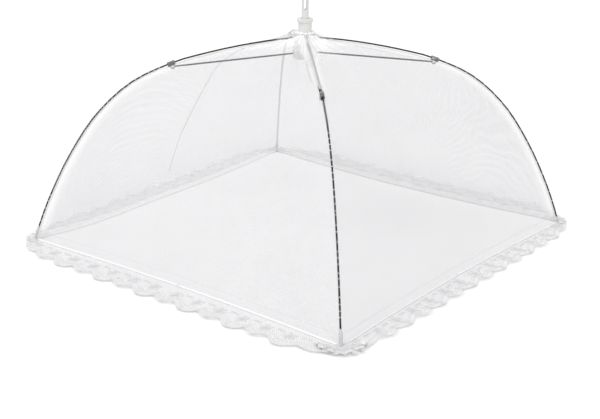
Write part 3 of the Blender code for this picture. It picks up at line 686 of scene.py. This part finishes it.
# Painted shade: the cap and post are painted darker than the hub's white plastic.
CAP_PLASTIC_PAINTED_SHADE = plastic_material("cap_plastic_painted_shade", (0.76, 0.76, 0.745), 0.38)
TIP_PLASTIC = plastic_material("tip_plastic", (0.62, 0.62, 0.63), 0.45)
WIRE = wire_material("black_wire", (0.012, 0.012, 0.013), (0.05, 0.05, 0.05), 0.5, 0.0, 0.3)
CLIP_STEEL = wire_material("clip_steel", (0.17, 0.17, 0.175), (0.6, 0.6, 0.6), 0.35, 0.8, 0.5)
BACK_CLIP = wire_material("clip_steel_back", (0.75, 0.75, 0.76), (0.85, 0.85, 0.85), 0.3, 1, 0.5)
STEEL = wire_material("pin_steel", (0.55, 0.55, 0.56), (0.7, 0.7, 0.7), 0.28, 1.0, 0.5)


def dress_node(node, material):
    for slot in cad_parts[node].material_slots:
        slot.material = material


def dress_frame():
    for node in ("crown", "runner"):
        dress_node(node, HUB_PLASTIC)
    for node in ("top_cap", "pull_post"):
        dress_node(node, CAP_PLASTIC_PAINTED_SHADE)
    for corner in range(1, CORNERS + 1):
        dress_node(f"rib_{corner}", WIRE)
        dress_node(f"stretcher_{corner}", WIRE)
        dress_node(f"rib_clip_{corner}", BACK_CLIP if corner == BACK else CLIP_STEEL)
        dress_node(f"crown_pin_{corner}", STEEL)
        dress_node(f"clip_rivet_{corner}", STEEL)
        dress_node(f"rib_tip_{corner}", TIP_PLASTIC)


# Cloth of the sides
def follow(item):
    """Bakes the piece's place into its mesh."""
    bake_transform(item)


def half_alongs(place, inset, part, columns):
    """Places across a half side, from one end to the other."""
    edge = half_side(place) - inset * math.sqrt(2)
    steps = spaced(0, 1, columns)
    if part == "a":
        return [-edge * (1 - step) for step in steps]
    return [edge * step for step in steps]


def make_net(side, part):
    """The net of a half side, with its rows closest at the cap."""
    rows, columns = 64, 40
    points, coords = [], []
    for row in range(rows + 1):
        place = HEM_TOP * (row / rows) ** 1.06
        alongs = half_alongs(place, seam_slit(place), part, columns)
        points.append([net_point(side, place, along) for along in alongs])
        coords.append([(along, place) for along in alongs])
    shape = Shape()
    shape.grid(points, coords)
    item = shape.object(f"net_{side}{part}", NETS[corner_of(side, part)])
    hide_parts(f"mesh_gore_{side}")
    follow(item)


def seen_in_front(side):
    """True for the two sides that are near in the photograph."""
    return side > 2


def make_hem(side, part):
    """The hem: a band of net, with a tape round its foot and a row of stitches at its top."""
    top = HEM_TOP - HEM_LAP
    points, coords = [], []
    for place in spaced(top, CLOTH.length, 4):
        alongs = half_alongs(place, SEAM_CLOSED, part, HEM_COLUMNS)
        points.append([net_point(side, place, along, HEM_LIFT) for along in alongs])
        coords.append([(along, place) for along in alongs])
    shape = Shape()
    shape.grid(points, coords)
    # The far hems' pale net is painted light, the near hems' grey net painted shade.
    item = shape.object(f"hem_{side}{part}", HEM_NET_PAINTED_SHADE_AND_LIGHT[seen_in_front(side)])
    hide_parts(f"hem_band_{side}")
    follow(item)
    alongs = half_alongs(CLOTH.length, SEAM_CLOSED, part, HEM_COLUMNS)
    lines, flat = [], []
    for out, up in HEM_TAPE_PROFILE:
        way = turned((out, 0, up - HEM_FOOT_HEIGHT), side_angle(side))
        lines.append([net_point(side, CLOTH.length, along, HEM_LIFT) + way for along in alongs])
        flat.append([(along, up) for along in alongs])
    ribbon = Shape()
    ribbon.grid(lines, flat)
    # The far sides' hem tape is painted paler, as painted light.
    tape = TAPE if seen_in_front(side) else BACK_TAPE
    edge = ribbon.object(f"hem_ribbon_{side}{part}", tape, thickness=TAPE_THICKNESS)
    follow(edge)
    place = top + HEM_STITCH_DROP
    alongs = half_alongs(place, SEAM_CLOSED, part, HEM_COLUMNS)
    seam = Shape()
    seam.tube([net_point(side, place, along, HEM_LIFT) for along in alongs], 0.00013, 5)
    # The far hems' seam thread is painted grey as the shade line along it.
    thread = THREAD if seen_in_front(side) else HEM_SHADE_LINE_THREAD
    follow(seam.object(f"hem_seam_{side}{part}", thread))


def seam_frame(corner, place):
    """Centre of the wire and its three ways beside a place of the seam."""
    angle = corner_angle(corner)
    radius, height, way_out, way_up = RIB.at(RIB.nearest(*CLOTH.at(place)[:2]))
    centre = turned((radius, 0, height), angle)
    normal = turned((-way_up, 0, way_out), angle)
    along = turned((way_out, 0, way_up), angle)
    return centre, Vector((-math.sin(angle), math.cos(angle), 0)), normal, along


def seam_sides(corner):
    """The two sides that meet at a corner, each with the way along it to the corner."""
    return ((corner - 2) % CORNERS + 1, 1), (corner, -1)


def rib_run(corner, start, end, count):
    """Points of the wire's line, between two distances down it."""
    points = []
    for place in spaced(start, end, count):
        radius, height, _, _ = RIB.at(place)
        points.append(turned((radius, 0, height), corner_angle(corner)))
    return points


def tape_width(place):
    """Width of the seam tape beside the wire: broad near the crown, narrow below the clip."""
    from_crown = smooth((CLOTH.at(place)[0] - 0.02) / 0.03)
    broad = TAPE_BROAD + TAPE_MORE_AT_CROWN * (1 - from_crown)
    return broad + (TAPE_NARROW - broad) * smooth((place - CLOTH_CLIP + 0.035) / 0.05)


def tape_point(side, way, place, off):
    """A point of the tape: just inside the net, and behind the wire where that is near."""
    radius = CLOTH.at(place)[0]
    half = radius / math.sqrt(2)
    corner = corner_of(side, "b" if way > 0 else "a")
    behind = (seam_cover(place, corner) + TAPE_BEHIND_WIRE) * (1 - smooth((off - 0.001) / 0.003))
    behind *= smooth((radius - 0.018) / 0.008)
    return net_point(side, place, way * (half - off * math.sqrt(2)), -TAPE_UNDER_NET - behind)


def make_seam_tape(corner):
    """Tape sewn inside the seam, broader on one side, slit round the clip."""
    start = 0.010 if corner == FRONT else 0.024
    shape = Shape()
    for side, way in seam_sides(corner):
        rows, coords = [], []
        for place in spaced(start, CLOTH.length - 0.0006, 150):
            inner = max(0.00005, seam_slit(place) - 2 * SEAM_CLOSED)
            width = tape_width(place) if way > 0 else TAPE_OTHER_SIDE
            width = max(width, inner + TAPE_LEAST)
            offs = [inner + (width - inner) * share for share in TAPE_SHARES]
            rows.append([tape_point(side, way, place, off) for off in offs])
            coords.append([(off * way, place) for off in offs])
        shape.grid(rows, coords)
    item = shape.object(f"seam_tape_{corner}", TAPE, thickness=TAPE_THICKNESS)
    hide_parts(f"seam_binding_{corner}")
    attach(item, f"rib_arm_{corner}")


def make_sleeve(corner):
    """The woven sleeve that the wire runs in, open at its clip."""
    shape = Shape()
    for start, end in ((0.007, CLIP_PLACE - 0.006), (CLIP_PLACE + 0.006, RIB.length - 0.007)):
        shape.tube(rib_run(corner, start, end, 60), SLEEVE_RADIUS, 10)
    item = shape.object(f"seam_sleeve_{corner}", TAPE)
    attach(item, f"rib_arm_{corner}")


def make_seam_cover(corner):
    """The doubled edge of the net over the wire, from the crown to the clip."""
    near, far = 0.0006, 0.0017
    rows, coords = [], []
    for place in spaced(0.001, CLOTH_CLIP - 0.008, 70):
        half = half_side(place)
        lift = COVER_LIFT + COVER_ABOVE - seam_cover(place, corner)
        row = []
        for side, way in seam_sides(corner):
            row += [net_point(side, place, way * (half - off * math.sqrt(2)), lift)
                    for off in ((far, near) if way > 0 else (near, far))]
        rows.append(row)
        coords.append([(0.0015 * index, place) for index in range(len(row))])
    shape = Shape()
    shape.grid(rows, coords)
    item = shape.object(f"seam_cover_{corner}", COVER_NET)
    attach(item, f"rib_arm_{corner}")


def make_seam_end(corner):
    """The bound end of the seam round the foot of the wire, above its plastic tip."""
    foot, length = RIB.length - 0.0055, 0.0095
    radius, wider = 0.0012, 0.0007
    shape = Shape()
    shape.tube(rib_run(corner, foot - length, foot, 14),
               lambda share: radius + wider * min(1.0, share * 1.6), 12)
    item = shape.object(f"seam_end_{corner}", TIP_PLASTIC)
    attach(item, f"rib_arm_{corner}")


def stitch_pitch(corner, place):
    """Close stitches where the photographed wire looks pale, and wide ones elsewhere."""
    low, high = CLOSE_STITCHES[corner]
    return CLOSE_PITCH if low < CLOTH.at(place)[0] < high else WIDE_PITCH[corner]


def make_stitches(corner):
    """Whip stitches that hold the wire in the seam, below its clip."""
    rng = random.Random(40 + corner)
    half_gap, slant, thread = 0.00022, 0.0006, 0.0002
    shape = Shape()
    place = CLOTH_CLIP + 0.014
    while place < CLOTH.length - 0.020:
        pitch = stitch_pitch(corner, place) * rng.uniform(0.85, 1.15)
        centre, across, normal, along = seam_frame(corner, place)
        for strand in (-half_gap, half_gap):
            points = []
            for share in spaced(0, 1, 8):
                angle = math.pi * (share * 1.56 - 0.28)
                points.append(centre + across * math.cos(angle) * STITCH_REACH
                              + normal * (math.sin(angle) * STITCH_REACH)
                              + along * (strand + (share - 0.5) * slant))
            shape.tube(points, thread, 5, up=tuple(along))
        place += pitch
    item = shape.object(f"seam_stitches_{corner}", THREAD)
    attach(item, f"rib_arm_{corner}")


# Lace
def lace_frame(side, share):
    """Start, end, flute and corner share of the lace at a share of its length."""
    reach = LACE_REACH[side]
    foot = half_side(CLOTH.length)
    run = foot - LACE_END
    along = -run + 2 * run * share
    inner = turned(net_point(side, CLOTH.length, along), -side_angle(side))
    start = Vector((inner[0] - LACE_UNDER_HEM, along, 0))
    to_corner = min(1.0, (run - abs(along)) / LACE_CORNER_RUN)
    fan = (1 - to_corner) ** 2
    wave = abs(math.sin(math.pi * SCALLOPS * share))
    arch = (wave + wave ** 2) / 2
    petals = abs(math.sin(math.pi * SCALLOPS * share * 5)) * PETAL
    width = reach - SCALLOP_SHARE * reach * (1 - arch) - PETAL + petals
    corner = corner_of(side, "a" if along < 0 else "b")
    corner_reach = CORNER_LACE[corner] * FAN_SHARE / math.sqrt(2)
    width = width * (1 - fan) + corner_reach * fan
    sideways = math.copysign(corner_reach + FAN_PAST, along) * fan
    end = Vector((foot + width - hem_bow(side, along / foot), along + sideways, 0))
    lifted = (1 - math.sin(math.pi * SCALLOPS * share)) / 2
    return start, end, LACE_FLUTE[side] * lifted * to_corner, to_corner


def lace_point(side, share, out, lift=0.0):
    """A point of the lace: share runs along the side, out runs from the hem to the edge."""
    start, end, flute, to_corner = lace_frame(side, share)
    point = start.lerp(end, out)
    raised = max(0.0, out - LACE_FLAT_SHARE) / (1 - LACE_FLAT_SHARE)
    ruffle = math.sin(share * SCALLOPS * math.tau * 1.5 + side) * RUFFLE * raised * to_corner
    point[2] = LACE_HEIGHT + flute * raised ** 2 + max(0.0, ruffle + RUFFLE * raised) + lift
    return turned(point, side_angle(side))


def lace_rows(side, shares, outs, lift=0.0):
    """Rows of points of the lace, and their places on its cloth."""
    return ([[lace_point(side, share, out, lift) for share in shares] for out in outs],
            [[(share * LACE_RUN, out * LACE_REACH[side]) for share in shares] for out in outs])


def cord_size(side):
    """The cords of the far sides are half as thick."""
    return 1.0 if seen_in_front(side) else 0.5


def make_lace(side, part):
    """The lace of a half side: its ground, a closer band at its edge, and its cords."""
    low, high = (0.0, 0.5) if part == "a" else (0.5, 1.0)
    shares = spaced(low, high, 140)
    near = seen_in_front(side)
    shape = Shape()
    shape.grid(*lace_rows(side, shares, spaced(0, 1, 9)))
    # The far sides' lace is painted paler, as painted light.
    item = shape.object(f"lace_{side}{part}", LACE_GROUND[near])
    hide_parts(f"lace_trim_{side}")
    follow(item)
    band = Shape()
    band.grid(*lace_rows(side, shares, (0.85, 0.9, 0.95, 1.0), BAND_LIFT))
    rim = band.object(f"lace_band_{side}{part}", LACE_BAND[near])
    follow(rim)
    threads = Shape()
    for out, radius in ((1.0, 0.00028), (0.85, 0.00028), (0.74, 0.00022)):
        threads.tube([lace_point(side, share, out, RIM_LIFT) for share in shares],
                     radius * cord_size(side), 6)
    per_part = SCALLOPS // 2
    first = 0 if part == "a" else per_part
    for scallop in range(first, first + per_part):
        flower(threads, side, (scallop + 0.5) / SCALLOPS)
        if scallop > first:
            sprig(threads, side, scallop / SCALLOPS)
    border = threads.object(f"lace_threads_{side}{part}", LACE_THREAD[near])
    follow(border)


def corded_oval(shape, side, centre, turn, far, size, count, radius):
    """A closed cord round an oval of the lace, far from a centre in the way of a turn."""
    loop = []
    for index in range(count):
        angle = math.tau * index / count
        along, beside = far + size[0] * math.cos(angle), size[1] * math.sin(angle)
        x = math.cos(turn) * along - math.sin(turn) * beside
        y = math.sin(turn) * along + math.cos(turn) * beside
        loop.append(lace_point(side, centre[0] + x / LACE_RUN, centre[1] + y / LACE_REACH[side],
                               CORD_LIFT))
    shape.tube(loop, radius * cord_size(side), 5, closed=True)


def flower(shape, side, share):
    """A corded flower of five petals in the lace."""
    centre = (share, 0.45)
    for petal in range(5):
        corded_oval(shape, side, centre, math.tau * petal / 5 + side, 0.0042, (0.0026, 0.0016),
                    9, 0.00026)
    corded_oval(shape, side, centre, 0, 0, (0.0011, 0.0011), 8, 0.0003)


def sprig(shape, side, share):
    """A pair of small corded leaves between two flowers."""
    for way in (-1, 1):
        corded_oval(shape, side, (share, 0.38), 0, way * 0.0026, (way * 0.0022, 0.0011), 8,
                    0.00025)


def corner_lace_point(corner, share, out, lift=0.0):
    """A point of the bunched lace at a corner, fanned about the diagonal."""
    spread = (share - 0.5) * 2
    angle = corner_angle(corner) + spread * CORNER_FAN
    pleat = spread * CORNER_PLEATS + corner
    turn = 0.07 * math.sin(pleat * 1.7 + 1) * out
    size = CORNER_LACE[corner] / CORNER_LACE[FRONT]
    reach = CORNER_LACE[corner] * (1 - 0.16 * spread ** 2) * (1 + 0.05 * math.sin(pleat * 0.9))
    rise = CORNER_RISE + CORNER_WAVE * math.sin(pleat * size)
    height = CORNER_HEIGHT + out ** 1.5 * rise * size
    centre = turned((REACH - CORNER_INSET, 0, 0), corner_angle(corner))
    away = turned((CORNER_HOLE + (reach - CORNER_HOLE) * out, 0, 0), angle + turn)
    return centre + away + Vector((0, 0, height + lift))


def corner_lace_rows(corner, shares, outs, lift=0.0):
    """Rows of points of the bunched lace, and their places on its cloth."""
    length, width = CORNER_LACE_CUT
    return ([[corner_lace_point(corner, share, out, lift) for share in shares] for out in outs],
            [[(share * length, out * width) for share in shares] for out in outs])


def make_corner_lace(corner):
    """The bunched lace of a corner: its ground, a closer band at its edge, and its cords."""
    shares = spaced(0, 1, 120)
    shape = Shape()
    shape.grid(*corner_lace_rows(corner, shares, spaced(0, 1, 7)))
    item = shape.object(f"lace_corner_{corner}", LACE_GROUND[corner == FRONT])
    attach(item, f"rib_arm_{corner}")
    band = Shape()
    band.grid(*corner_lace_rows(corner, shares, (0.8, 0.9, 1.0), BAND_LIFT))
    rim = band.object(f"lace_corner_band_{corner}", LACE_BAND[corner == FRONT])
    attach(rim, f"rib_arm_{corner}")
    threads = Shape()
    for out in (1.0, 0.8, 0.45):
        threads.tube([corner_lace_point(corner, share, out, RIM_LIFT) for share in shares],
                     CORNER_CORD, 6)
    cord = threads.object(f"lace_corner_threads_{corner}", LACE_THREAD[True])
    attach(cord, f"rib_arm_{corner}")


def make_crease(side):
    """The pinched fold down the middle of a side, which turns aside at its foot. Its net is
    painted darker, as painted shade in the fold.
    """
    count = 60
    broad, base, rise = 0.0011, 0.0003, 0.0006
    rows, coords = [], []
    for step, place in enumerate(spaced(CLOTH.length * 0.30, CLOTH.length * 0.91, count)):
        turn = CREASE_TURN * max(0.0, (step / count - 0.5) * 2) ** 1.3
        width = broad * math.sin(math.pi * min(1.0, 0.08 + step / count)) ** 0.5
        rows.append([net_point(side, place, turn + off * width, base + rise * (1 - abs(off)))
                     for off in (-1, 0, 1)])
        coords.append([(off * 0.001, place) for off in (-1, 0, 1)])
    shape = Shape()
    shape.grid(rows, coords)
    item = shape.object(f"net_crease_{side}", NET_FOLD_PAINTED_SHADE)
    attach(item, ROOT)


def make_apex_gather():
    """The bunched top of the net under the cap."""
    inner, width, top = 0.0066, 0.0044, 0.2348
    columns = 96
    points, coords = [], []
    for share in spaced(0, 1, 7):
        radius = inner + width * share
        ring, flat = [], []
        for column in range(columns):
            angle = math.tau * column / columns
            fold = math.sin(angle * 16 + 2 * math.sin(angle * 3))
            height = top - 0.0010 * share ** 1.3 + 0.0005 * fold * share
            reach = radius + 0.0007 * math.sin(angle * 5 + 1) * share
            ring.append(turned((reach, 0, height), angle))
            flat.append((angle * 0.012, radius))
        points.append(ring)
        coords.append(flat)
    shape = Shape()
    shape.grid(points, coords, closed=True)
    item = shape.object("apex_gather", GATHER, thickness=0.0003)
    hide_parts("apex_washer")
    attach(item, ROOT)


# Camera, light and floor
def way_from(azimuth, elevation):
    """The way from the middle to a place round and up from it, in degrees."""
    azimuth, elevation = math.radians(azimuth), math.radians(elevation)
    return Vector((math.sin(azimuth) * math.cos(elevation),
                   -math.cos(azimuth) * math.cos(elevation), math.sin(elevation)))


def camera_ways():
    """The camera's right, up and back."""
    azimuth, roll = math.radians(CAMERA_AZIMUTH), math.radians(CAMERA_ROLL)
    back = way_from(CAMERA_AZIMUTH, CAMERA_ELEVATION)
    right = Vector((math.cos(azimuth), math.sin(azimuth), 0))
    up = back.cross(right)
    rolled_right = right * math.cos(roll) + up * math.sin(roll)
    rolled_up = up * math.cos(roll) - right * math.sin(roll)
    return rolled_right, rolled_up, back


def make_camera():
    right, up, back = camera_ways()
    camera = bpy.data.objects.new("camera", bpy.data.cameras.new("camera"))
    bpy.context.scene.collection.objects.link(camera)
    turn = Matrix((right, up, back)).transposed().to_4x4()
    place = right * CAMERA_RIGHT + up * CAMERA_UP + back * CAMERA_DISTANCE
    camera.matrix_world = Matrix.Translation(place) @ turn
    camera.data.sensor_width = SENSOR
    camera.data.lens = FOCAL_PIXELS * SENSOR / PHOTO_WIDTH
    camera.data.clip_start = 0.05
    camera.data.clip_end = 50
    bpy.context.scene.camera = camera


def seen_directly(tree):
    """1 for what the camera sees, straight or in gloss or through glass."""
    rays = tree.nodes.new("ShaderNodeLightPath")
    seen = math_node(tree, "ADD", rays.outputs["Is Camera Ray"], rays.outputs["Is Glossy Ray"])
    return math_node(tree, "ADD", seen, rays.outputs["Is Transmission Ray"], clamp=True)


def make_world():
    """A white backdrop, and an even pale light."""
    world = bpy.data.worlds.new("studio")
    bpy.context.scene.world = world
    world.use_nodes = True
    tree = world.node_tree
    background = tree.nodes["Background"]
    background.inputs["Color"].default_value = (1, 1, 1, 1)
    link(tree, ramp(tree, seen_directly(tree), 0, 1, WORLD_LIGHT, 1.0),
         background.inputs["Strength"])


def make_floor():
    """A wide plain floor. It looks white where light reaches it, and keeps the soft shadow."""
    mesh = bpy.data.meshes.new("floor")
    sides, reach = 48, 12.0
    ring = [(reach * math.cos(math.tau * i / sides), reach * math.sin(math.tau * i / sides),
             -FLOOR_DROP) for i in range(sides)]
    mesh.from_pydata(ring, [], [tuple(range(sides))])
    floor = bpy.data.objects.new("floor", mesh)
    bpy.context.scene.collection.objects.link(floor)
    material, tree, shader, _ = start_material("floor", 0.9, specular=0.1)
    shader.inputs["Base Color"].default_value = (0.8, 0.8, 0.8, 1)
    output = tree.nodes["Material Output"]
    glow = tree.nodes.new("ShaderNodeEmission")
    glow.inputs["Strength"].default_value = 0.1
    matt = tree.nodes.new("ShaderNodeBsdfDiffuse")
    matt.inputs["Color"].default_value = (0.96, 0.96, 0.96, 1)
    both = tree.nodes.new("ShaderNodeAddShader")
    link(tree, glow.outputs[0], both.inputs[0])
    link(tree, matt.outputs[0], both.inputs[1])
    mix = tree.nodes.new("ShaderNodeMixShader")
    link(tree, seen_directly(tree), mix.inputs[0])
    link(tree, shader.outputs[0], mix.inputs[1])
    link(tree, both.outputs[0], mix.inputs[2])
    link(tree, mix.outputs[0], output.inputs["Surface"])
    mesh.materials.append(material)


def make_sun(name, way, share, softness):
    """A far soft lamp. A share of 1 lights a white face square to it fully."""
    lamp = bpy.data.objects.new(name, bpy.data.lights.new(name, "SUN"))
    lamp.data.energy = share * math.pi
    lamp.data.angle = math.radians(softness)
    lamp.rotation_mode = "QUATERNION"
    lamp.rotation_quaternion = way.to_track_quat("Z", "Y")
    bpy.context.scene.collection.objects.link(lamp)


def make_light():
    """A key lamp to the camera's left and a fill lamp to its right."""
    make_sun("key", way_from(CAMERA_AZIMUTH - 65, 55), share=0.26, softness=30)
    make_sun("fill", way_from(CAMERA_AZIMUTH + 12, 42), share=0.32, softness=35)


make_camera()
make_world()
make_floor()
make_light()
dress_frame()
make_apex_gather()
for number in range(1, CORNERS + 1):
    for name in ("a", "b"):
        make_net(number, name)
        make_hem(number, name)
        make_lace(number, name)
    make_corner_lace(number)
    make_seam_tape(number)
    if number != RIGHT:
        make_seam_end(number)
    if number != BACK:
        make_stitches(number)

make_seam_cover(FRONT)
make_sleeve(BACK)
make_crease(BACK_LEFT_SIDE)
bpy.context.scene.view_settings.view_transform = "Standard"
